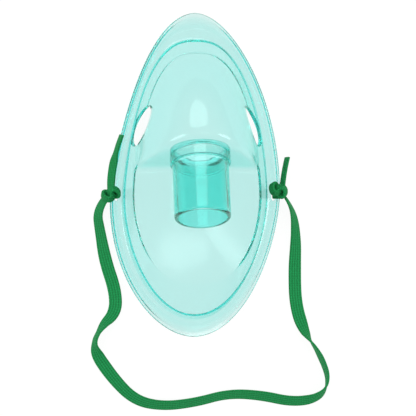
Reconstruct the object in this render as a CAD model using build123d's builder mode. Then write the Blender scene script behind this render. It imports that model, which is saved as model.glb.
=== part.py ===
"""Aerosol face mask: soft shell, turning port connector, knotted elastic head strap (millimetres)."""

import os
from math import cos, radians, sin, tan

from build123d import *

os.makedirs("parts", exist_ok=True)

# ---- Shell: an oval cup, open downwards, nose at +Y, chin at -Y --------------------------------
WALL = 1.4  # soft moulded sheet
SHELL_HALF_LENGTH = 73.4  # free edge of the rim, centre to nose and centre to chin
SHELL_HALF_WIDTH = 38.6
WIDEST_Y = -10.0  # the cheeks are widest a little towards the chin
NOSE_BEND = 1.6  # powers of the outline towards each tip
CHIN_BEND = 1.8
RIM_LIFT = 3.2  # the turned-out rim stands this far off the table at its free edge
RIM_WIDTH_NOSE = 8.9  # free edge to root, the line where rim and wall meet and the mask rests
RIM_WIDTH_CHIN = 8.7
RIM_WIDTH_SIDE = 5.6
PANEL_HEIGHT = 12.0  # flat panel over mouth and chin
WALL_RUN_NOSE = 9.5  # how far the wall leans in between the root and the panel
WALL_RUN_CHIN = 15.2
WALL_RUN_SIDE = 3.5

# ---- Nose dome, above the panel ----------------------------------------------------------------
DOME_WIDEST_Y = -5.0
DOME_FOOT_INSET = 0.6  # the dome's foot stands just inside the panel's border
SHOULDER_RISE = 13.0
SHOULDER_RUN_NOSE = 10.0
SHOULDER_RUN_SIDE = 4.0
CROWN_RUN_NOSE = 18.0
CROWN_RUN_SIDE = 11.5
DOME_BACK_Y = -30.0  # before the seat cuts it off
LIP_HEADROOM = 2.0  # between the connector's lip and the crown's inside

# ---- Port connector and its seat in the shell --------------------------------------------------
PORT_TILT = 22.0  # its mouth looks at the chin and this far up from the table
PORT_ROOT_Y = 10.8
PORT_LENGTH = 33.0
SOCKET_RADIUS = 11.0  # for a 22 mm nebuliser or tubing outlet
TUBE_WALL = 1.65
LIP_LENGTH = 1.8  # retaining lip inside the mask
LIP_STEP = 0.85
SEAT_PLAY = 0.3  # axial play each side of the shell's collar
COLLAR_LENGTH = 4.6  # from the seat's inner face to the collar's end
COLLAR_WALL = 1.1
COLLAR_ABOVE_PANEL = 1.2
TURN_CLEARANCE = 0.06
BEAD_LENGTH = 1.0
BEAD_STEP = 0.4
MOUTH_ROUND = 1.2

# ---- Side openings and strap slots -------------------------------------------------------------
OPENING_Y = 21.8  # level with the panel, beside the nose
OPENING_LENGTH = 19.2
OPENING_HEIGHT = 12.0
OPENING_LEAN = 24.0  # degrees, higher towards the nose
SLOT_Y = -8.6
SLOT_LENGTH = 6.4
SLOT_WIDTH = 1.7
SLOT_EDGE = 1.8  # rim left outside the slot

# ---- Head strap --------------------------------------------------------------------------------
STRAP_ROUND = 3.0  # a round cord with the same section as the 6 mm wide flat elastic
STRAP_THICKNESS = 1.1
STRAP_WIDTH = 5.6  # as it is drawn together in the knot
LOOP_GAP = 0.3
KNOT_RADIUS = 3.0
KNOT_OUT = 1.0  # the lump's middle, outside the rim's edge
KNOT_UP = 2.7  # and above the loop's inside
TAIL_ROUND = 2.2
# Runs of the strap from the knots: out from the rim's side edge, along Y, and up.
RIGHT_RUN = [
    (2.4, -10.4, 6.4),
    (6.3, -15.5, 4.0),
    (8.0, -27.5, 2.2),
    (7.3, -44.0, 1.6),
    (7.8, -60.0, 1.8),
    (12.0, -72.5, 2.8),
    (18.9, -82.0, 3.0),
    (23.3, -94.0, 3.0),
    (18.9, -102.0, 2.2),
    (6.6, -104.0, 1.6),
    (-8.6, -100.6, 1.6),
    (-23.6, -99.8, 1.6),
    (-38.6, -103.8, 1.6),
]
LEFT_RUN = [
    (2.4, -10.6, 6.4),
    (6.4, -16.0, 4.2),
    (4.7, -26.0, 2.2),
    (2.2, -39.5, 1.6),
    (-2.2, -52.5, 1.8),
    (-2.4, -62.6, 2.6),
    (4.6, -69.2, 3.0),
    (8.6, -78.2, 2.2),
    (-1.1, -92.5, 1.6),
    (-11.1, -102.6, 1.6),
    (-23.6, -105.4, 1.6),
]
LEFT_TAIL_RUN = [(0.6, -6.6, 7.8), (-0.2, 5.5, 7.4), (-3.8, 17.5, 7.0)]
RIGHT_TAIL_RUN = [(0.8, -6.4, 7.8), (1.4, 0.5, 7.2), (3.4, 8.0, 6.0)]

TUBE_RADIUS = SOCKET_RADIUS + TUBE_WALL
COLLAR_BORE = TUBE_RADIUS + TURN_CLEARANCE
SEAT_INNER = LIP_LENGTH + SEAT_PLAY
SEAT_OUTER = SEAT_INNER + WALL
COLLAR_END = SEAT_INNER + COLLAR_LENGTH
PORT_AXIS = (0, -cos(radians(PORT_TILT)), sin(radians(PORT_TILT)))
COLLAR_RADIUS = COLLAR_BORE + COLLAR_WALL
LIP_RADIUS = TUBE_RADIUS + LIP_STEP
# The port stands just high enough for its collar to clear the panel, and the crown clears the lip.
COLLAR_DROP = COLLAR_RADIUS * cos(radians(PORT_TILT)) - COLLAR_END * sin(radians(PORT_TILT))
PORT_ROOT_Z = PANEL_HEIGHT + COLLAR_ABOVE_PANEL + COLLAR_DROP
SHOULDER_HEIGHT = PANEL_HEIGHT + SHOULDER_RISE
CROWN_HEIGHT = PORT_ROOT_Z + LIP_RADIUS * cos(radians(PORT_TILT)) + LIP_HEADROOM + WALL

# Each outline inside the rim: nose, chin and half width.
ROOT_NOSE_Y = SHELL_HALF_LENGTH - RIM_WIDTH_NOSE
ROOT_CHIN_Y = RIM_WIDTH_CHIN - SHELL_HALF_LENGTH
ROOT_HALF_WIDTH = SHELL_HALF_WIDTH - RIM_WIDTH_SIDE
PANEL_NOSE_Y = ROOT_NOSE_Y - WALL_RUN_NOSE
PANEL_CHIN_Y = ROOT_CHIN_Y + WALL_RUN_CHIN
PANEL_HALF_WIDTH = ROOT_HALF_WIDTH - WALL_RUN_SIDE
SHOULDER_NOSE_Y = PANEL_NOSE_Y - SHOULDER_RUN_NOSE
SHOULDER_HALF_WIDTH = PANEL_HALF_WIDTH - SHOULDER_RUN_SIDE
CROWN_NOSE_Y = SHOULDER_NOSE_Y - CROWN_RUN_NOSE
CROWN_HALF_WIDTH = SHOULDER_HALF_WIDTH - CROWN_RUN_SIDE


def port_plane(along):
    """The plane square to the port's axis, this far from its inner end."""
    y = PORT_ROOT_Y + along * PORT_AXIS[1]
    z = PORT_ROOT_Z + along * PORT_AXIS[2]
    return Plane(origin=(0, y, z), x_dir=(1, 0, 0), z_dir=PORT_AXIS)


def oval(nose, chin, half, widest, nose_power=0.54, chin_power=0.52):
    """Points of the outline x = half * (1 - t**bend)**power, with t = 0 at the widest line, 1 at each tip."""
    steps = [sin(radians(angle)) for angle in (0, 22, 42, 60, 76)]
    nose_side = [(half * (1 - t**NOSE_BEND) ** nose_power, widest + (nose - widest) * t) for t in steps]
    chin_side = [(half * (1 - t**CHIN_BEND) ** chin_power, widest + (chin - widest) * t) for t in steps[1:]]
    right = nose_side[::-1] + chin_side
    left = [(-x, y) for x, y in right[::-1]]
    return [(0, nose)] + right + [(0, chin)] + left


def section(height, points):
    """One closed smooth outline at this height."""
    with BuildSketch(Plane.XY.offset(height)) as sketch:
        with BuildLine():
            Spline(*points, periodic=True)
        make_face()
    return sketch.sketch


def cup(inset):
    """The shell's outside as a solid, or its inside when the sizes are drawn in by the wall."""
    root = oval(ROOT_NOSE_Y - inset, ROOT_CHIN_Y + inset, ROOT_HALF_WIDTH - inset, WIDEST_Y, 0.42)
    panel = oval(PANEL_NOSE_Y - inset, PANEL_CHIN_Y + inset, PANEL_HALF_WIDTH - inset, WIDEST_Y, 0.40, 0.36)
    foot_half = PANEL_HALF_WIDTH - DOME_FOOT_INSET - inset
    foot_nose = PANEL_NOSE_Y - DOME_FOOT_INSET - inset
    foot = oval(foot_nose, DOME_BACK_Y, foot_half, DOME_WIDEST_Y, 0.42)
    shoulder = oval(SHOULDER_NOSE_Y - inset, DOME_BACK_Y, SHOULDER_HALF_WIDTH - inset, DOME_WIDEST_Y, 0.42)
    crown = oval(CROWN_NOSE_Y - inset, DOME_BACK_Y / 2, CROWN_HALF_WIDTH - inset, DOME_WIDEST_Y, 0.5)
    with BuildPart() as dome:
        add(section(PANEL_HEIGHT - WALL - inset, foot))
        add(section(SHOULDER_HEIGHT - inset, shoulder))
        add(section(CROWN_HEIGHT - inset, crown))
        loft()
        seat = port_plane(SEAT_INNER if inset else SEAT_OUTER)
        split(bisect_by=seat, keep=Keep.BOTTOM)
    with BuildPart() as body:
        add(section(0, root))
        add(section(PANEL_HEIGHT - inset, panel))
        loft()
        add(dome.part)
    return body.part


with BuildPart() as mask_shell:
    # Turned-out rim: a shallow dish between the root line and the free edge.
    root_outline = oval(ROOT_NOSE_Y, ROOT_CHIN_Y, ROOT_HALF_WIDTH, WIDEST_Y, 0.42)
    rim_outline = oval(SHELL_HALF_LENGTH, -SHELL_HALF_LENGTH, SHELL_HALF_WIDTH, WIDEST_Y)
    loft([section(0, root_outline), section(RIM_LIFT, rim_outline)])
    extrude(section(RIM_LIFT, rim_outline), amount=WALL)
    loft([section(WALL, root_outline), section(RIM_LIFT + WALL, rim_outline)], mode=Mode.SUBTRACT)
    add(cup(0))
    # Collar that holds the port connector.
    with BuildSketch(port_plane(SEAT_INNER)):
        Circle(COLLAR_RADIUS)
    extrude(amount=COLLAR_LENGTH)
    add(cup(WALL), mode=Mode.SUBTRACT)
    with BuildSketch(port_plane(SEAT_INNER - WALL)):
        Circle(COLLAR_BORE)
    extrude(amount=COLLAR_LENGTH + 2 * WALL, mode=Mode.SUBTRACT)
    # One large breathing opening through each cheek wall.
    with BuildSketch(Plane.YZ):
        with Locations((OPENING_Y, PANEL_HEIGHT)):
            Ellipse(OPENING_LENGTH / 2, OPENING_HEIGHT / 2, rotation=OPENING_LEAN)
    extrude(amount=ROOT_HALF_WIDTH, both=True, mode=Mode.SUBTRACT)
    # A slot through the rim on each side for the strap.
    slot_x = SHELL_HALF_WIDTH - SLOT_EDGE - SLOT_WIDTH / 2
    with BuildSketch():
        with Locations((slot_x, SLOT_Y), (-slot_x, SLOT_Y)):
            SlotOverall(SLOT_LENGTH, SLOT_WIDTH, rotation=90)
    extrude(amount=RIM_LIFT + 2 * WALL, mode=Mode.SUBTRACT)
mask_shell.part.label = "mask_shell"
export_step(mask_shell.part, "parts/mask_shell.step")


with BuildPart() as port_connector:
    with BuildSketch(port_plane(0)):
        Circle(TUBE_RADIUS)
    extrude(amount=PORT_LENGTH)
    mouth_edge = port_connector.edges().sort_by(Axis((0, 0, 0), PORT_AXIS))[-1]
    fillet(mouth_edge, MOUTH_ROUND)
    with BuildSketch(port_plane(0)):
        Circle(LIP_RADIUS)
    extrude(amount=LIP_LENGTH)
    with BuildSketch(port_plane(COLLAR_END + SEAT_PLAY)):
        Circle(TUBE_RADIUS + BEAD_STEP)
    extrude(amount=BEAD_LENGTH)
    with BuildSketch(port_plane(0)):
        Circle(SOCKET_RADIUS)
    extrude(amount=PORT_LENGTH, mode=Mode.SUBTRACT)
port_connector.part.label = "port_connector"
export_step(port_connector.part, "parts/port_connector.step")


def beside(side, run):
    """The points of a run on one side of the mask, carried out by the rim's half width."""
    return [(side * (SHELL_HALF_WIDTH + out), y, z) for out, y, z in run]


def corner_radii(route):
    """The largest arc at each corner that leaves a straight piece in the middle of both runs."""
    points = [Vector(*point) for point in route]
    runs = [b - a for a, b in zip(points, points[1:])]
    radii = []
    for before, after in zip(runs, runs[1:]):
        half_turn = radians(before.get_angle(after)) / 2
        radii.append(0.45 * min(before.length, after.length) / tan(half_turn))
    return radii


def cord(route, diameter):
    """A round cord along straight runs joined by tangent arcs."""
    radii = corner_radii(route)
    with BuildPart() as piece:
        with BuildLine():
            line = FilletPolyline(*route, radius=radii)
        with BuildSketch(Plane(origin=line @ 0, z_dir=line % 0)):
            Circle(diameter / 2)
        sweep(path=line)
    section_area = 3.14159 * diameter**2 / 4
    print("cord length", round(line.length, 1), "radii", [round(radius, 1) for radius in radii])
    print("volume / (section x length)", round(piece.part.volume / (section_area * line.length), 4))
    return piece.part


def knot(side):
    """The strap looped through the slot and round the rim's edge, with the tied lump above it."""
    inner_x = SHELL_HALF_WIDTH - SLOT_EDGE - LOOP_GAP
    outer_x = SHELL_HALF_WIDTH + LOOP_GAP
    slot_share = (inner_x - ROOT_HALF_WIDTH) / (SHELL_HALF_WIDTH - ROOT_HALF_WIDTH)
    low_z = RIM_LIFT * slot_share - LOOP_GAP
    high_z = RIM_LIFT + WALL + LOOP_GAP
    middle = (side * (inner_x + outer_x) / 2, (low_z + high_z) / 2)
    with BuildPart() as piece:
        with BuildSketch(Plane.XZ.offset(-SLOT_Y)):
            with Locations(middle):
                wide = outer_x - inner_x
                high = high_z - low_z
                RectangleRounded(wide + 2 * STRAP_THICKNESS, high + 2 * STRAP_THICKNESS, STRAP_THICKNESS)
                Rectangle(wide, high, mode=Mode.SUBTRACT)
        extrude(amount=STRAP_WIDTH / 2, both=True)
        with Locations((side * (SHELL_HALF_WIDTH + KNOT_OUT), SLOT_Y, high_z + KNOT_UP)):
            Sphere(KNOT_RADIUS)
    return piece.part


with BuildPart() as head_strap:
    add(cord(beside(1, RIGHT_RUN) + beside(-1, LEFT_RUN)[::-1], STRAP_ROUND))
head_strap.part.label = "head_strap"
export_step(head_strap.part, "parts/head_strap.step")

with BuildPart() as left_knot:
    add(knot(-1))
left_knot.part.label = "left_knot"
export_step(left_knot.part, "parts/left_knot.step")

with BuildPart() as right_knot:
    add(knot(1))
right_knot.part.label = "right_knot"
export_step(right_knot.part, "parts/right_knot.step")

with BuildPart() as left_strap_tail:
    add(cord(beside(-1, LEFT_TAIL_RUN), TAIL_ROUND))
left_strap_tail.part.label = "left_strap_tail"
export_step(left_strap_tail.part, "parts/left_strap_tail.step")

with BuildPart() as right_strap_tail:
    add(cord(beside(1, RIGHT_TAIL_RUN), TAIL_ROUND))
right_strap_tail.part.label = "right_strap_tail"
export_step(right_strap_tail.part, "parts/right_strap_tail.step")
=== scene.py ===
# %% [markdown]
# # Aerosol face mask
#
# A soft clear mask lies on its rim, nose up the page, with a green elastic strap tied through the rim
# on both sides. The shell is one thin moulding, the port is a separate tube that turns in the shell,
# and the strap is a flat knitted band. Everything is in metres in the frame of the CAD parts.

import bmesh
import bpy
import numpy as np
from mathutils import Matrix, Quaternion, Vector


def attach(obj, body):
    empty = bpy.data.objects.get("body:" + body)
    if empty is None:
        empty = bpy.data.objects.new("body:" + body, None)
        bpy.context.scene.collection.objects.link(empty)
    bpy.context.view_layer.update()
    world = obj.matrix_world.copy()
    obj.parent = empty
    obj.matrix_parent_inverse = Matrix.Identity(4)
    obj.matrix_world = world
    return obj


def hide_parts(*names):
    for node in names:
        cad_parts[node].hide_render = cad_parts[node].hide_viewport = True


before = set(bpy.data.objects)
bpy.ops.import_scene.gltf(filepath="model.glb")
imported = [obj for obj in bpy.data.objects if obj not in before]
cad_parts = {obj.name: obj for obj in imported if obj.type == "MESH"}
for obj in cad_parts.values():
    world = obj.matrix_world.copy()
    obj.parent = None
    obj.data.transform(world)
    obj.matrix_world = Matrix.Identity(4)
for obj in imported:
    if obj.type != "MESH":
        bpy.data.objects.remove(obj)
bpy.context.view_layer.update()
print("frame", sorted(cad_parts))


def grid_faces(rows, columns, wrap_rows=False, wrap_columns=False):
    """Quads of a grid kept row by row; a wrapped direction joins its last line to its first."""
    i = np.arange(rows if wrap_rows else rows - 1)
    j = np.arange(columns if wrap_columns else columns - 1)
    i, j = np.meshgrid(i, j, indexing="ij")
    after_i = (i + 1) % rows
    after_j = (j + 1) % columns
    corners = [(i, j), (i, after_j), (after_i, after_j), (after_i, j)]
    return np.stack([row * columns + column for row, column in corners], -1).reshape(-1, 4)


def add_piece(name, points, faces, material, smooth=True):
    """A mesh object at the origin from its points and faces."""
    mesh = bpy.data.meshes.new(name)
    places = np.asarray(points, float).reshape(-1, 3).tolist()
    mesh.from_pydata(places, [], [list(map(int, face)) for face in faces])
    mesh.materials.append(material)
    mesh.polygons.foreach_set("use_smooth", [smooth] * len(mesh.polygons))
    mesh.update()
    piece = bpy.data.objects.new(name, mesh)
    bpy.context.scene.collection.objects.link(piece)
    return piece


def add_uv(piece, per_point):
    """A UV map from one (u, v) for each point."""
    mesh = piece.data
    corner_points = np.empty(len(mesh.loops), int)
    mesh.loops.foreach_get("vertex_index", corner_points)
    layer = mesh.uv_layers.new(name="UVMap")
    layer.data.foreach_set("uv", np.asarray(per_point, float)[corner_points].ravel())


def smooth_step(x, low, high):
    """0 below low, 1 above high, and the curve 3t^2 - 2t^3 between."""
    t = np.clip((x - low) / (high - low), 0, 1)
    return t * t * (3 - 2 * t)


# %% [markdown]
# ## Camera
# The camera looks almost straight down and stands a little to the mask's left, so the left cheek
# opening shows as a hole and the right one nearly edge-on.

# %% Camera
CAMERA_DISTANCE = 1.25
CAMERA_LEAN = np.radians(6.3)
VIEW_CENTRE = Vector((0.0058, -0.0151, 0.004))
VIEW_WIDTH = 0.1895

toward_camera = Vector((-np.sin(CAMERA_LEAN), 0.0, np.cos(CAMERA_LEAN)))
camera_data = bpy.data.cameras.new("camera")
camera_data.sensor_width = 36.0
camera_data.lens = 36.0 * CAMERA_DISTANCE / VIEW_WIDTH
camera_data.clip_end = 20.0
camera = bpy.data.objects.new("camera", camera_data)
camera.location = VIEW_CENTRE + toward_camera * CAMERA_DISTANCE
camera.rotation_euler = (0.0, -CAMERA_LEAN, 0.0)
bpy.context.scene.collection.objects.link(camera)
bpy.context.scene.camera = camera
print("camera at", [round(v, 3) for v in camera.location])

# %% [markdown]
# ## Materials
# The shell and the port are the same clear plasticised vinyl with different amounts of green in it.
# The colour is held in the volume, so a sheet seen edge-on is deeper than one seen flat; a deeper
# green is also painted where a surface is seen askew, as painted shade. The elastic has ribs along
# it and a fine knit across them, with painted shade in the grooves between the ribs.


# %% Materials
def new_material(name):
    """An empty node material: its nodes, a link function, the main shader and the output."""
    material = bpy.data.materials.new(name)
    material.use_nodes = True
    nodes = material.node_tree.nodes
    link = material.node_tree.links.new
    return material, nodes, link, nodes["Principled BSDF"], nodes["Material Output"]


def add_node(nodes, kind, values=None):
    """A node of this kind with these values on its inputs."""
    node = nodes.new(kind)
    for name, value in (values or {}).items():
        node.inputs[name].default_value = value
    return node


def add_bump(nodes, link, shader, height, strength, distance):
    """Small relief of the surface from a height."""
    bump = add_node(nodes, "ShaderNodeBump", {"Strength": strength, "Distance": distance})
    link(height, bump.inputs["Height"])
    link(bump.outputs["Normal"], shader.inputs["Normal"])


# Deeper green painted where a sheet is seen askew: painted shade for its depth of material.
EDGE_SHADE_GREEN = (0.0, 0.86, 0.72, 1)


def clear_vinyl(name, surface, tint, density, roughness, waviness, edge_shade_share):
    """Clear vinyl: colour from the depth of material, faint waves, painted green shade where seen askew.
    """
    material, nodes, link, shader, output = new_material(name)
    shader.inputs["Roughness"].default_value = roughness
    shader.inputs["IOR"].default_value = 1.42

    # Painted shade: seen askew, the surface turns to a deeper diffuse green and lets less light through.
    askew = add_node(nodes, "ShaderNodeLayerWeight", {"Blend": 0.5})
    edge = add_node(nodes, "ShaderNodeMapRange", {"From Min": 0.48, "From Max": 1.0})
    link(askew.outputs["Facing"], edge.inputs["Value"])
    colour = nodes.new("ShaderNodeMix")
    colour.data_type = "RGBA"
    colour.inputs["A"].default_value = (*surface, 1)
    colour.inputs["B"].default_value = EDGE_SHADE_GREEN
    link(edge.outputs["Result"], colour.inputs["Factor"])
    link(colour.outputs["Result"], shader.inputs["Base Color"])
    clear = add_node(nodes, "ShaderNodeMapRange", {"To Min": 0.98, "To Max": 1.0 - edge_shade_share})
    link(edge.outputs["Result"], clear.inputs["Value"])
    link(clear.outputs["Result"], shader.inputs["Transmission Weight"])

    place = nodes.new("ShaderNodeTexCoord")
    waves = add_node(nodes, "ShaderNodeTexNoise", {"Scale": 38.0, "Detail": 1.0})
    link(place.outputs["Object"], waves.inputs["Vector"])
    add_bump(nodes, link, shader, waves.outputs["Fac"], waviness, 0.002)

    depth = add_node(nodes, "ShaderNodeVolumeAbsorption", {"Color": (*tint, 1), "Density": density})
    link(depth.outputs["Volume"], output.inputs["Volume"])
    return material


RIBS_ACROSS = 5.0
KNITS_PER_METRE = 900.0
# Painted shade: the yarn's colour deep in the grooves, then its colour on the crests.
GROOVE_SHADE_YARN = (0.003, 0.150, 0.034, 1)
RIB_CREST_YARN = (0.012, 0.330, 0.092, 1)


def ribbed_elastic(name):
    """Knitted elastic: ribs across the band's v, a fine knit along its u, dull green yarn, shade painted
    in the grooves.
    """
    material, nodes, link, shader, _ = new_material(name)
    shader.inputs["Roughness"].default_value = 0.75
    shader.inputs["Specular IOR Level"].default_value = 0.2

    def maths(operation, *terms):
        node = nodes.new("ShaderNodeMath")
        node.operation = operation
        for socket, term in zip(node.inputs, terms):
            if isinstance(term, float):
                socket.default_value = term
            else:
                link(term, socket)
        return node.outputs[0]

    place = nodes.new("ShaderNodeUVMap")
    place.uv_map = "UVMap"
    split = nodes.new("ShaderNodeSeparateXYZ")
    link(place.outputs["UV"], split.inputs["Vector"])
    ribs = maths("SINE", maths("MULTIPLY", split.outputs["Y"], 2 * np.pi * RIBS_ACROSS))
    knit = maths("SINE", maths("MULTIPLY", split.outputs["X"], 2 * np.pi * KNITS_PER_METRE))
    fibre = add_node(nodes, "ShaderNodeTexNoise", {"Scale": 900.0})
    object_place = nodes.new("ShaderNodeTexCoord")
    link(object_place.outputs["Object"], fibre.inputs["Vector"])
    height = maths("ADD", maths("MULTIPLY", ribs, 0.5), maths("MULTIPLY", knit, 0.18))
    height = maths("ADD", height, maths("MULTIPLY", fibre.outputs["Fac"], 0.5))
    add_bump(nodes, link, shader, height, 0.5, 0.0003)

    # Painted shade: the yarn is darker where the relief is low, in the rib grooves and knit hollows, and
    # lighter on the crests; the fibre noise adds random tone.
    shade = add_node(nodes, "ShaderNodeMapRange", {"From Min": -0.6, "From Max": 1.0})
    link(height, shade.inputs["Value"])
    ramp = nodes.new("ShaderNodeValToRGB")
    ramp.color_ramp.elements[0].color = GROOVE_SHADE_YARN
    ramp.color_ramp.elements[1].color = RIB_CREST_YARN
    link(shade.outputs["Result"], ramp.inputs["Fac"])
    link(ramp.outputs["Color"], shader.inputs["Base Color"])
    return material


shell_vinyl = clear_vinyl(
    "shell_vinyl",
    surface=(0.955, 0.920, 0.898),
    tint=(0.0, 0.93, 0.905),
    density=400.0,
    roughness=0.10,
    waviness=0.10,
    edge_shade_share=0.42,
)
port_vinyl = clear_vinyl(
    "port_vinyl",
    surface=(0.85, 0.985, 0.965),
    tint=(0.0, 0.935, 0.905),
    density=440.0,
    roughness=0.05,
    waviness=0.05,
    edge_shade_share=0.55,
)
elastic = ribbed_elastic("elastic")
print("materials", shell_vinyl.name, port_vinyl.name, elastic.name)

# %% [markdown]
# ## Head strap
# One flat elastic band runs from knot to knot. Its middle line is a smooth curve; the band's width
# turns about that line, lying flat along the bottom and standing on edge where it twists.

# %% Head strap
STRAP_WIDTH = 0.0059
STRAP_THICKNESS = 0.0011
STRAP_ROUTE = [
    (0.0410, -0.0104, 0.0064),
    (0.0449, -0.0155, 0.0040),
    (0.0466, -0.0275, 0.0022),
    (0.0459, -0.0440, 0.0016),
    (0.0464, -0.0600, 0.0018),
    (0.0506, -0.0725, 0.0028),
    (0.0575, -0.0820, 0.0030),
    (0.0619, -0.0940, 0.0030),
    (0.0575, -0.1020, 0.0022),
    (0.0452, -0.1040, 0.0016),
    (0.0300, -0.1006, 0.0016),
    (0.0150, -0.0998, 0.0016),
    (0.0000, -0.1038, 0.0016),
    (-0.0150, -0.1054, 0.0016),
    (-0.0275, -0.1026, 0.0016),
    (-0.0375, -0.0925, 0.0016),
    (-0.0472, -0.0782, 0.0022),
    (-0.0432, -0.0692, 0.0030),
    (-0.0362, -0.0626, 0.0026),
    (-0.0364, -0.0525, 0.0018),
    (-0.0408, -0.0395, 0.0016),
    (-0.0433, -0.0260, 0.0022),
    (-0.0450, -0.0160, 0.0042),
    (-0.0410, -0.0106, 0.0064),
]
# Turn of the band's width about its line, in degrees, at these shares of its length. 0 lies flat.
STRAP_TURNS = [
    (0.00, 80), (0.02, 70), (0.035, 57), (0.05, 46), (0.065, 38), (0.085, 25),
    (0.12, 8), (0.20, 3), (0.225, 45), (0.243, 90), (0.27, 106), (0.295, 103),
    (0.315, 90), (0.335, 55), (0.36, 40), (0.42, 40), (0.50, 45), (0.60, 42),
    (0.66, 30), (0.70, 15), (0.715, 10), (0.733, 30), (0.75, 75), (0.77, 80),
    (0.783, 62), (0.80, 40), (0.82, 12), (0.84, 0), (0.90, 20), (0.93, 40), (1.00, 65),
]

print("strap route", len(STRAP_ROUTE), "points")

# %% [markdown]
# The middle line is read back from a smooth curve. A band is then the same flat rounded section set
# along a line, with its width turned about the line.


# %% Bands along a line
def smooth_line(name, route):
    """Points along the smooth curve that the route's points pull."""
    curve = bpy.data.curves.new(name, "CURVE")
    curve.dimensions = "3D"
    spline = curve.splines.new("NURBS")
    spline.points.add(len(route) - 1)
    for point, place in zip(spline.points, route):
        point.co = (*place, 1.0)
    spline.order_u = 3
    spline.use_endpoint_u = True
    spline.resolution_u = 16
    holder = bpy.data.objects.new(name, curve)
    bpy.context.scene.collection.objects.link(holder)
    bpy.context.view_layer.update()
    line = bpy.data.meshes.new_from_object(holder)
    points = np.array([tuple(vertex.co) for vertex in line.vertices])
    bpy.data.objects.remove(holder)
    return points


def frames_along(points):
    """Unit tangent, level sideways and upward directions at each point of a line."""
    tangent = np.gradient(points, axis=0)
    tangent /= np.linalg.norm(tangent, axis=1, keepdims=True)
    side = np.cross(tangent, (0.0, 0.0, 1.0))
    side /= np.linalg.norm(side, axis=1, keepdims=True)
    return tangent, side, np.cross(side, tangent)


def band_section(width, thickness, count):
    """A flat rounded section: (w/2 cos^0.4, t/2 sin^0.6), the powers keeping the signs."""
    angle = np.linspace(0, 2 * np.pi, count, endpoint=False)
    across = width / 2 * np.sign(np.cos(angle)) * np.abs(np.cos(angle)) ** 0.4
    through = thickness / 2 * np.sign(np.sin(angle)) * np.abs(np.sin(angle)) ** 0.6
    return across, through


def shares(points):
    """Length travelled at each point of a line."""
    steps = np.linalg.norm(np.diff(points, axis=0), axis=1)
    return np.concatenate([[0], np.cumsum(steps)])


def band_body(name, points, wide, thick, width, thickness, material):
    """A closed flat band whose section lies along two directions given at each point."""
    travelled = shares(points)
    across, through = band_section(width, thickness, 40)
    across_part = wide[:, None] * across[None, :, None]
    through_part = thick[:, None] * through[None, :, None]
    grid = points[:, None] + across_part + through_part
    rows, columns = grid.shape[:2]
    faces = [list(face) for face in grid_faces(rows, columns, wrap_columns=True)]
    faces.append(list(range(columns))[::-1])
    faces.append(list(range((rows - 1) * columns, rows * columns)))
    piece = add_piece(name, grid, faces, material)
    uv = np.stack(np.broadcast_arrays(travelled[:, None], across[None] / width + 0.5), -1)
    add_uv(piece, uv.reshape(-1, 2))
    return piece


def band(name, points, turns, width, thickness, material):
    """A flat band along a line; its width is level and square to the line, then turned about it."""
    share = shares(points) / shares(points)[-1]
    turn = np.radians(np.interp(share, *zip(*turns)))
    kernel = np.hanning(9) / np.hanning(9).sum()
    turn = np.convolve(np.pad(turn, 4, mode="edge"), kernel, mode="valid")
    tangent, side, up = frames_along(points)
    wide = side * np.cos(turn)[:, None] + up * np.sin(turn)[:, None]
    return band_body(name, points, wide, np.cross(wide, tangent), width, thickness, material)


# %% [markdown]
# Where the band stands on edge its middle line is held at least half a width above the table.

# %% Strap piece
strap_line = smooth_line("strap_line", STRAP_ROUTE)
strap_share = shares(strap_line) / shares(strap_line)[-1]
on_edge = np.sin(np.radians(np.interp(strap_share, *zip(*STRAP_TURNS))))
stands = np.abs(on_edge) * STRAP_WIDTH / 2 + 0.0006
lifted = np.convolve(np.pad(stands, 6, mode="edge"), np.ones(13) / 13, mode="valid")
strap_line[:, 2] = np.maximum(strap_line[:, 2], lifted)
strap = band("strap", strap_line, STRAP_TURNS, STRAP_WIDTH, STRAP_THICKNESS, elastic)
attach(strap, "mask")
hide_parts("head_strap")
print("strap length", round(float(shares(strap_line)[-1]), 4), "m")
print("strap's middle line is at least", round(float(strap_line[:, 2].min()), 4), "m up")

# %% [markdown]
# ## Shell
# One moulding about 1.4 mm thick. Going inwards from the free edge, the rim slopes down to a valley
# that rests on the table. The wall then climbs, steeply from its foot over a small step and more
# gently above it, to the border of the chin panel. The nose dome rises from the panel and ends in a
# sloping seat, square to the port, that looks at the chin.

# %% Shell: sizes
WALL = 0.0014
RIM_LIFT = 0.0032
PANEL_HEIGHT = 0.0120
WIDEST_Y = -0.0100
RIM_CREST = 0.0003
RIM = dict(nose=0.0734, chin=-0.0734, half=0.0384, nose_power=0.54, chin_power=0.52)
VALLEY = dict(nose=0.0668, chin=-0.0674, half=0.0350, nose_power=0.47, chin_power=0.52)
FOOT = dict(nose=0.0619, chin=-0.0662, half=0.0334, nose_power=0.40, chin_power=0.50)
STEP = dict(nose=0.0613, chin=-0.0642, half=0.0329, nose_power=0.40, chin_power=0.50)
PANEL = dict(nose=0.0550, chin=-0.0495, half=0.0292, nose_power=0.37, chin_power=0.38)
PANEL_MIDDLE = (0.0, -0.0200)
PORT_TILT = np.radians(22.0)
PORT_ROOT = np.array([0.0, 0.0108, 0.0234945])
PORT_AXIS = np.array([0.0, -np.cos(PORT_TILT), np.sin(PORT_TILT)])
TUBE_RADIUS = 0.01265
SEAT_INNER = 0.0021
COLLAR_END = 0.0067
COLLAR_BORE = 0.01271
COLLAR_RADIUS = 0.01361
DOME_RISE = 0.0305
DOME_HALF = 0.0286
DOME_MIDDLE_Y = -0.0050
DOME_TO_NOSE = 0.0594
DOME_TO_CHIN = 0.0250
print("rim", round(RIM["nose"] - RIM["chin"], 4), "m long and", round(2 * RIM["half"], 4), "m wide")

# %% [markdown]
# The border lines are ovals with their own fullness at the nose and at the chin. The dome is a rounded
# oval hill, and the plane of the port's seat cuts across it.


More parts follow.
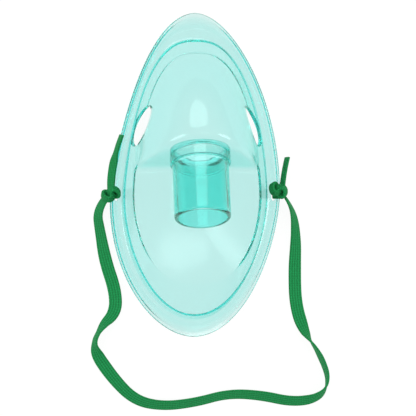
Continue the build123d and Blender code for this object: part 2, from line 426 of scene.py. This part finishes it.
# %% Shell: border lines and heights
def outline(angle, nose, chin, half, nose_power, chin_power):
    """An oval from the nose round: y = widest + reach * cos a, x = half * (1 - |cos a|^bend)^power.

    x takes the sign of sin a. Reach, bend and power are different towards the nose and the chin.
    """
    reach = np.where(np.cos(angle) > 0, nose - WIDEST_Y, WIDEST_Y - chin)
    power = np.where(np.cos(angle) > 0, nose_power, chin_power)
    bend = np.where(np.cos(angle) > 0, 1.6, 1.8)
    x = half * np.sign(np.sin(angle)) * (1 - np.abs(np.cos(angle)) ** bend) ** power
    return np.stack([x, WIDEST_Y + reach * np.cos(angle)], -1)


def smooth_min(a, b, blend):
    """The lower of two heights with the corner rounded over about this much."""
    t = np.clip(0.5 + 0.5 * (b - a) / blend, 0, 1)
    return b * (1 - t) + a * t - blend * t * (1 - t)


def dome_height(x, y):
    """Panel height + rise * (1 - s^2.7)^0.9.

    s^2.1 = |x / half|^2.1 + |(y - middle) / reach|^2.1, with one reach to the nose and one to the chin.
    """
    reach = np.where(y > DOME_MIDDLE_Y, DOME_TO_NOSE, DOME_TO_CHIN)
    s = (np.abs(x / DOME_HALF) ** 2.1 + np.abs((y - DOME_MIDDLE_Y) / reach) ** 2.1) ** (1 / 2.1)
    inside = PANEL_HEIGHT + DOME_RISE * np.clip(1 - s**2.7, 0, 1) ** 0.9
    return np.where(s < 1, inside, PANEL_HEIGHT - 0.02 * (s - 1))


def seat_height(y):
    """Height of the plane square to the port's axis at the seat's outer face."""
    seat = PORT_ROOT + PORT_AXIS * (SEAT_INNER + WALL)
    return seat[2] + (y - seat[1]) / np.tan(PORT_TILT)


# %% [markdown]
# The outer sheet is a web of rings and spokes. `inward` counts the border lines from the free edge (0)
# to the middle of the panel (5). The rings are heightened one by one, evened where the dome runs out
# towards the nose, and the rim sways a little from side to side, as soft mouldings do.

# %% Shell: the outer sheet
SPOKES = 288
RIM_RINGS, STEP_RINGS, PANEL_RINGS = 16, 7, 92
EVENING_PASSES = 40
SWAY = 0.0012

angle = np.linspace(0, 2 * np.pi, SPOKES, endpoint=False) + np.pi / SPOKES
rings = [outline(angle, **line) for line in (RIM, VALLEY, FOOT, STEP, PANEL)]
lines = np.stack([*rings, np.broadcast_to(PANEL_MIDDLE, (SPOKES, 2))])
inward = np.concatenate([
    np.linspace(0, 1, RIM_RINGS, endpoint=False),
    np.linspace(1, 2, STEP_RINGS, endpoint=False),
    np.linspace(2, 3, STEP_RINGS, endpoint=False),
    np.linspace(3, 4, STEP_RINGS + 5, endpoint=False),
    np.linspace(4, 4.985, PANEL_RINGS),
])
corner_heights = [RIM_LIFT + WALL, WALL, WALL + 0.0004, 0.0056, PANEL_HEIGHT, PANEL_HEIGHT]
ring_height = np.interp(inward, range(6), corner_heights)
ring_height += RIM_CREST * np.exp(-(((inward - 0.27) / 0.13) ** 2))
kernel = np.array([0.25, 0.5, 0.25])
inward[1:-1] = np.convolve(inward, kernel, mode="valid")
ring_height[1:-1] = np.convolve(ring_height, kernel, mode="valid")
whole = np.clip(inward.astype(int), 0, 4)
part = (inward - whole)[:, None, None]
plan = lines[whole] * (1 - part) + lines[whole + 1] * part
x, y = plan[..., 0], plan[..., 1]
crowned = np.clip(inward - 4, 0, 1)[:, None]
base = ring_height[:, None] + 0.0016 * (1 - (1 - crowned) ** 2)
dome = smooth_min(dome_height(x, y), seat_height(y), 0.0085)
height = np.where(crowned > 0, -smooth_min(-base, -dome, 0.0020), base)
toward_nose = smooth_step(y, 0.004, 0.022) * smooth_step(inward, 3.2, 3.6)[:, None]
for _ in range(EVENING_PASSES):
    evened = height.copy()
    evened[1:-1] = 0.25 * height[:-2] + 0.5 * height[1:-1] + 0.25 * height[2:]
    height += toward_nose * (evened - height)
sway = SWAY * np.sin((y + 0.0086) / 0.0245) * (1 - smooth_step(inward, 1.0, 4.0))[:, None]
sheet = np.stack([x + sway, y, height], -1)
centre = np.array([[*PANEL_MIDDLE, sheet[-1, :, 2].mean()]])
points = np.concatenate([sheet.reshape(-1, 3), centre])
faces = [list(face[::-1]) for face in grid_faces(len(inward), SPOKES, wrap_columns=True)]
last = (len(inward) - 1) * SPOKES
faces += [[last + (j + 1) % SPOKES, last + j, len(points) - 1] for j in range(SPOKES)]
shell = add_piece("shell", points, faces, shell_vinyl)
print("sheet", len(points), "points, top", round(float(height.max()), 4))

# %% [markdown]
# The tools that give the sheet its collar, its port hole, two cheek openings and two strap slots.

# %% Shell: tools for joining and cutting
CHEEK_LENGTH, CHEEK_HEIGHT = 0.0192, 0.0120
CHEEK_LEAN = np.radians(24.0)
CHEEK_Y, CHEEK_Z = 0.0218, 0.0120
SLOT_LENGTH, SLOT_WIDTH = 0.0064, 0.0017
SLOT_X, SLOT_Y = 0.03595, -0.0086


def along_port(distance):
    """The point on the port's axis this far from its inner end."""
    return PORT_ROOT + PORT_AXIS * distance


def closed_bar(name, first, last):
    """A closed bar between two rings of as many points, capped at both ends."""
    count = len(first)
    side = [list(face) for face in grid_faces(2, count, wrap_columns=True)]
    ends = [list(range(count))[::-1], list(range(count, 2 * count))]
    return add_piece(name, np.concatenate([first, last]), side + ends, shell_vinyl)


def rod(name, start, end, radius, count=96):
    """A round rod between two points: circles round its axis at both ends."""
    start, end = np.asarray(start, float), np.asarray(end, float)
    axis = (end - start) / np.linalg.norm(end - start)
    first = np.cross(axis, (1.0, 0.0, 0.0) if abs(axis[0]) < 0.9 else (0.0, 1.0, 0.0))
    first /= np.linalg.norm(first)
    second = np.cross(axis, first)
    turn = np.linspace(0, 2 * np.pi, count, endpoint=False)
    circle = radius * (np.cos(turn)[:, None] * first + np.sin(turn)[:, None] * second)
    return closed_bar(name, start + circle, end + circle)


def cheek_cutter(name):
    """An oval bar through both cheeks, leaning so that it is higher towards the nose."""
    turn = np.linspace(0, 2 * np.pi, 96, endpoint=False)
    long, short = CHEEK_LENGTH / 2 * np.cos(turn), CHEEK_HEIGHT / 2 * np.sin(turn)
    y = CHEEK_Y + long * np.cos(CHEEK_LEAN) - short * np.sin(CHEEK_LEAN)
    z = CHEEK_Z + long * np.sin(CHEEK_LEAN) + short * np.cos(CHEEK_LEAN)
    ends = [np.stack([np.full_like(y, side * 0.036), y, z], -1) for side in (-1, 1)]
    return closed_bar(name, *ends)


def slot_cutter(name, side):
    """An upright oval bar through the rim."""
    turn = np.linspace(0, 2 * np.pi, 48, endpoint=False)
    x = side * SLOT_X + SLOT_WIDTH / 2 * np.sign(np.cos(turn)) * np.abs(np.cos(turn)) ** 0.7
    y = SLOT_Y + SLOT_LENGTH / 2 * np.sign(np.sin(turn)) * np.abs(np.sin(turn)) ** 0.7
    ends = [np.stack([x, y, np.full_like(x, z)], -1) for z in (-0.002, 0.008)]
    return closed_bar(name, *ends)


def outwards(piece):
    """Turns every face of a closed piece to look outwards."""
    work = bmesh.new()
    work.from_mesh(piece.data)
    bmesh.ops.recalc_face_normals(work, faces=work.faces)
    work.to_mesh(piece.data)
    work.free()


def settle(piece):
    """Makes the result of a piece's modifiers its own mesh."""
    shape = bpy.context.evaluated_depsgraph_get()
    mesh = bpy.data.meshes.new_from_object(piece.evaluated_get(shape))
    piece.modifiers.clear()
    piece.data = mesh


def carve(piece, operation, tool):
    """Joins a tool to a piece, or cuts it out, and removes the tool."""
    outwards(tool)
    modifier = piece.modifiers.new(operation, "BOOLEAN")
    modifier.operation = operation
    modifier.object = tool
    modifier.solver = "EXACT"
    settle(piece)
    bpy.data.objects.remove(tool)


print("cheek openings", CHEEK_LENGTH, "by", CHEEK_HEIGHT, "m")

# %% [markdown]
# The wall thins to a little over half towards the free edge. The collar starts just inside the seat so
# that the two are one body, and the port hole goes through both.

# %% Shell: thickness, collar, holes
body = shell.vertex_groups.new(name="body")
for ring, share in enumerate(0.55 + 0.45 * smooth_step(inward, 0.0, 1.0)):
    body.add(list(range(ring * SPOKES, (ring + 1) * SPOKES)), float(share), "REPLACE")
body.add([len(points) - 1], 1.0, "REPLACE")
solidify = shell.modifiers.new("thickness", "SOLIDIFY")
solidify.thickness = WALL
solidify.offset = -1
solidify.vertex_group = "body"
settle(shell)
outwards(shell)
collar = rod("collar", along_port(SEAT_INNER + 0.0002), along_port(COLLAR_END), COLLAR_RADIUS)
carve(shell, "UNION", collar)
hole = rod("port_hole", along_port(SEAT_INNER - 0.004), along_port(COLLAR_END + 0.004), COLLAR_BORE)
carve(shell, "DIFFERENCE", hole)
carve(shell, "DIFFERENCE", cheek_cutter("cheeks"))
for side in (-1, 1):
    carve(shell, "DIFFERENCE", slot_cutter("slot", side))
shell.data.set_sharp_from_angle(angle=np.radians(40))
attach(shell, "mask")
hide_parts("mask_shell")
print("shell", len(shell.data.polygons), "faces")

# %% [markdown]
# ## Port connector
# A thicker tube, turned like a lathe profile about its own axis: a retaining lip inside the mask, a
# snap bead outside the collar, a plain length and a rounded mouth. Close pairs of rings beside each
# rounding keep the light even on the plain lengths.

# %% Port connector
SOCKET_RADIUS = 0.0110
PORT_LENGTH = 0.0330
LIP_STEP, LIP_LENGTH = 0.00085, 0.0018
BEAD_STEP, BEAD_PLACE = 0.0003, 0.0075
MOUTH_ROUNDING = 0.0012


def arc(centre, radius, start, end, count=6):
    """Points of a round corner in (along, radius), from one angle to another, in degrees."""
    turn = np.radians(np.linspace(start, end, count))
    return [(centre[0] + radius * np.sin(a), centre[1] + radius * np.cos(a)) for a in turn]


def lathe(name, profile, material, count=160):
    """A closed (along, radius) profile turned about the port's axis."""
    profile = np.asarray(profile)
    turn = np.linspace(0, 2 * np.pi, count, endpoint=False)
    upward = np.cross((1.0, 0.0, 0.0), PORT_AXIS)
    ring = np.cos(turn)[:, None] * np.array((1.0, 0.0, 0.0)) + np.sin(turn)[:, None] * upward
    points = PORT_ROOT + profile[:, 0, None, None] * PORT_AXIS + profile[:, 1, None, None] * ring
    faces = grid_faces(len(profile), count, wrap_rows=True, wrap_columns=True)
    piece = add_piece(name, points, faces, material)
    outwards(piece)
    return piece


lip_radius = TUBE_RADIUS + LIP_STEP
mouth = PORT_LENGTH - MOUTH_ROUNDING
outer = [
    *arc((0.0004, lip_radius - 0.0004), 0.0004, -90, 0),
    *arc((LIP_LENGTH - 0.0005, lip_radius - 0.0005), 0.0005, 0, 90),
    (LIP_LENGTH, TUBE_RADIUS + 0.0001),
    (LIP_LENGTH + 0.0001, TUBE_RADIUS),
    (LIP_LENGTH + 0.0002, TUBE_RADIUS),
    (BEAD_PLACE - 0.0007, TUBE_RADIUS),
    (BEAD_PLACE - 0.0006, TUBE_RADIUS),
    *arc((BEAD_PLACE, TUBE_RADIUS + BEAD_STEP - 0.0005), 0.0005, -50, 50, 9),
    (BEAD_PLACE + 0.0006, TUBE_RADIUS),
    (BEAD_PLACE + 0.0007, TUBE_RADIUS),
    (mouth - 0.0003, TUBE_RADIUS),
    *arc((mouth, TUBE_RADIUS - MOUTH_ROUNDING), MOUTH_ROUNDING, 0, 90, 12),
]
inner = [
    *arc((PORT_LENGTH - 0.0002, SOCKET_RADIUS + 0.0002), 0.0002, 90, 180, 4),
    (PORT_LENGTH - 0.0004, SOCKET_RADIUS),
    (0.0092, SOCKET_RADIUS),
    (0.0090, SOCKET_RADIUS),
    (0.0060, SOCKET_RADIUS + 0.0002),
    (0.0030, SOCKET_RADIUS + 0.0008),
    (0.0, lip_radius - 0.0008),
]
port = lathe("port", outer + inner, port_vinyl)
port.data.set_sharp_from_angle(angle=np.radians(50))
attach(port, "connector")
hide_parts("port_connector")
print("port", len(port.data.polygons), "faces")

# %% [markdown]
# ## Knots and tails
# On each side the strap goes down through the slot, round the rim's edge and over itself. The knot is
# a few short turns of the same band pulled tight.

# %% Knots
LEFT_LUMP = (-0.0388, -0.0088, 0.0074)
RIGHT_LUMP = (0.0376, -0.0070, 0.0074)
KNOT_SIZE = 0.00112
LOOP_WIDTH, LOOP_THICKNESS = 0.0046, 0.0010
TIED_WIDTH, TIED_THICKNESS = 0.0034, 0.0015
TAIL_WIDTH, TAIL_THICKNESS = 0.0042, 0.0012


def tied_line(centre, turn, size, count=150):
    """An overhand knot drawn tight: x is sin a + 2 sin 2a, z is cos a - 2 cos 2a, y is -sin 3a."""
    a = np.linspace(0, 2 * np.pi, count)
    x = size * 1.15 * (np.sin(a) + 2 * np.sin(2 * a))
    z = size * 0.80 * (np.cos(a) - 2 * np.cos(2 * a))
    y = size * -1.7 * np.sin(3 * a)
    flat = np.stack([x * np.cos(turn) - y * np.sin(turn), x * np.sin(turn) + y * np.cos(turn), z], -1)
    return np.asarray(centre) + flat


def hugging(points, centre):
    """Directions of a band that lies round a centre: its width along the lump, its thickness outwards."""
    tangent = np.gradient(points, axis=0)
    tangent /= np.linalg.norm(tangent, axis=1, keepdims=True)
    wide = np.cross(tangent, points - np.asarray(centre))
    wide /= np.linalg.norm(wide, axis=1, keepdims=True)
    return wide, np.cross(wide, tangent)


def rim_loop(side, count=60):
    """The line of the loop through the slot and round the rim's edge."""
    a = np.linspace(0, 2 * np.pi, count)
    x = side * (0.0377 + 0.0018 * np.cos(a))
    return np.stack([x, np.full(count, -0.0086), 0.0034 + 0.0024 * np.sin(a)], -1)


def join(name, parts):
    """Several pieces as one mesh, so that they export and ride as one."""
    with bpy.context.temp_override(active_object=parts[0], selected_editable_objects=parts):
        bpy.ops.object.join()
    parts[0].name = name
    return parts[0]


def knot(name, side, centre, turn, node):
    """The loop round the rim's edge and the tied lump above it."""
    loop = rim_loop(side)
    tied = tied_line(centre, turn, KNOT_SIZE)
    loop_ways = hugging(loop, loop.mean(axis=0))
    parts = [
        band_body(name + "_loop", loop, *loop_ways, LOOP_WIDTH, LOOP_THICKNESS, elastic),
        band_body(name + "_tied", tied, *hugging(tied, centre), TIED_WIDTH, TIED_THICKNESS, elastic),
    ]
    piece = join(name, parts)
    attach(piece, "mask")
    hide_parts(node)
    return piece


left_knot = knot("knot_left", -1, LEFT_LUMP, 0.5, "left_knot")
right_knot = knot("knot_right", 1, RIGHT_LUMP, -0.35, "right_knot")
print("knots", len(left_knot.data.polygons) + len(right_knot.data.polygons), "faces")

# %% [markdown]
# The cut ends stand out of the knots.

# %% Tails
LEFT_TAIL_ROUTE = [(-0.0388, -0.0066, 0.0078), (-0.0388, 0.0055, 0.0074), (-0.0338, 0.0180, 0.0070)]
RIGHT_TAIL_ROUTE = [(0.0394, -0.0064, 0.0078), (0.0400, 0.0005, 0.0072), (0.0420, 0.0080, 0.0060)]


def tail(name, route, turns, node):
    """A cut end of the band, drawn together at the knot and curling on edge towards its tip."""
    line = smooth_line(name + "_line", route)
    piece = band(name, line, turns, TAIL_WIDTH, TAIL_THICKNESS, elastic)
    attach(piece, "mask")
    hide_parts(node)
    print(name, round(float(shares(line)[-1]), 4), "m")
    return piece


LEFT_TAIL_TURNS = [(0, 50), (0.15, 40), (0.52, 40), (0.62, 70), (1, 72)]
RIGHT_TAIL_TURNS = [(0, 70), (1, 72)]
left_tail = tail("tail_left", LEFT_TAIL_ROUTE, LEFT_TAIL_TURNS, "left_strap_tail")
right_tail = tail("tail_right", RIGHT_TAIL_ROUTE, RIGHT_TAIL_TURNS, "right_strap_tail")

# %% [markdown]
# ## Light and floor
# A pale table and a pale room: soft panels at both sides and behind the nose, and two small windows
# overhead that show as pale patches on the chin panel.


# %% Light and floor
def soft_panel(name, place, wide, high, power, roll=0.0):
    """An oval soft light that looks at the mask, rolled about its own view."""
    light = bpy.data.lights.new(name, "AREA")
    light.shape = "ELLIPSE"
    light.size = wide
    light.size_y = high
    light.energy = power
    lamp = bpy.data.objects.new(name, light)
    lamp.location = place
    toward = (-Vector(place)).to_track_quat("-Z", "Y")
    lamp.rotation_euler = (toward @ Quaternion((0, 0, 1), roll)).to_euler()
    bpy.context.scene.collection.objects.link(lamp)
    return lamp


soft_panel("panel_behind", (-0.12, 1.00, 1.00), 1.1, 1.0, 6.0)
soft_panel("panel_left", (-1.05, -0.20, 0.95), 0.5, 0.9, 5.0)
soft_panel("panel_right", (1.15, -0.20, 0.95), 0.5, 0.9, 5.0)
soft_panel("window_left", (0.04, -0.19, 1.30), 0.30, 0.20, 0.30)
soft_panel("window_right", (0.30, -0.14, 1.30), 0.10, 0.36, 0.22, -0.3)

world = bpy.data.worlds.new("room")
world.use_nodes = True
background = world.node_tree.nodes["Background"]
background.inputs["Color"].default_value = (1, 1, 1, 1)
background.inputs["Strength"].default_value = 0.55
bpy.context.scene.world = world
print("lights", len(bpy.data.lights))

# %% [markdown]
# Light passes through many clear surfaces one behind the other, so it is followed through up to 32 of
# them. The table is nearly white by its own light, so that the mask lies on an even ground.

# %% Light paths and floor
LIGHT_STEPS = 32
FLOOR_HALF, FLOOR_DROP = 4.0, -0.0002

scene = bpy.context.scene
scene.view_settings.view_transform = "Standard"
scene.cycles.max_bounces = LIGHT_STEPS
scene.cycles.transmission_bounces = LIGHT_STEPS
scene.cycles.glossy_bounces = LIGHT_STEPS

table_material, _, _, table_shader, _ = new_material("table_white")
table_shader.inputs["Base Color"].default_value = (0.10, 0.10, 0.10, 1)
table_shader.inputs["Roughness"].default_value = 1.0
table_shader.inputs["Specular IOR Level"].default_value = 0.0
table_shader.inputs["Emission Color"].default_value = (1, 1, 1, 1)
table_shader.inputs["Emission Strength"].default_value = 0.93
floor_corners = ((-1, -1), (1, -1), (1, 1), (-1, 1))
floor_points = [(FLOOR_HALF * x, FLOOR_HALF * y, FLOOR_DROP) for x, y in floor_corners]
table_top = add_piece("table_top", floor_points, [[0, 1, 2, 3]], table_material, smooth=False)
print("table", 2 * FLOOR_HALF, "m square")
